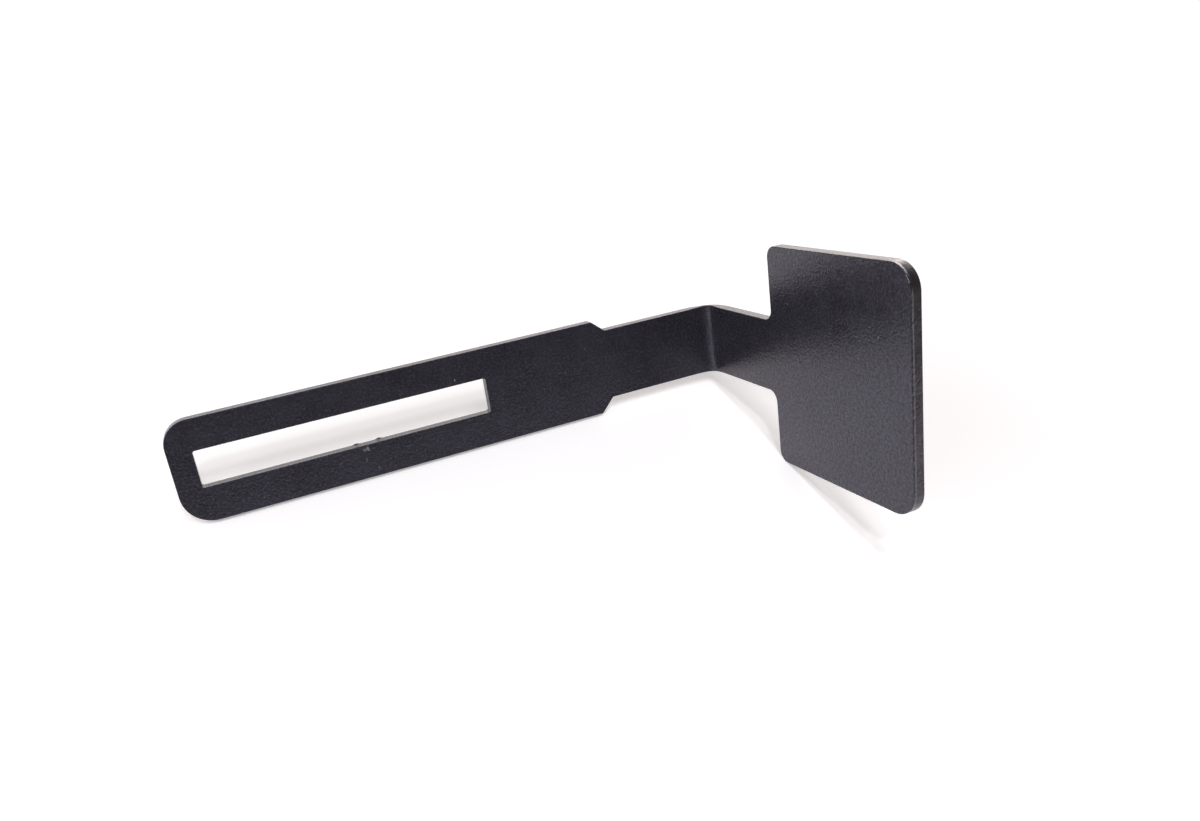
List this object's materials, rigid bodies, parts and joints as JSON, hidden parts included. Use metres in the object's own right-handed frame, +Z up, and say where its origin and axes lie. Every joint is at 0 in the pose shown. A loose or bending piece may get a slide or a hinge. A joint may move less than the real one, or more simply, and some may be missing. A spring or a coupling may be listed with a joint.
{
  "type": "interlock bracket",
  "caption": "Black powder-coated sheet steel bracket: a long slotted arm, folded square at a narrower neck that carries a rectangular paddle with rounded corners.",
  "frame": {"origin": "on the ground, below the middle of the bracket's box as it stands on its arm's lower edge and its paddle's lower inner corner", "axes": "+X along the arm from its slotted end to the fold, +Z up, -Y towards the paddle's free end; the paddle's faces look along X and the arm leans back by 22.8 degrees about X"},
  "size_m": [0.1572, 0.0952, 0.0725],
  "materials": {
    "powder_coat": "satin"
  },
  "bodies": {
    "root": {"interlock_bracket": "powder_coat"}
  },
  "joints": []
}
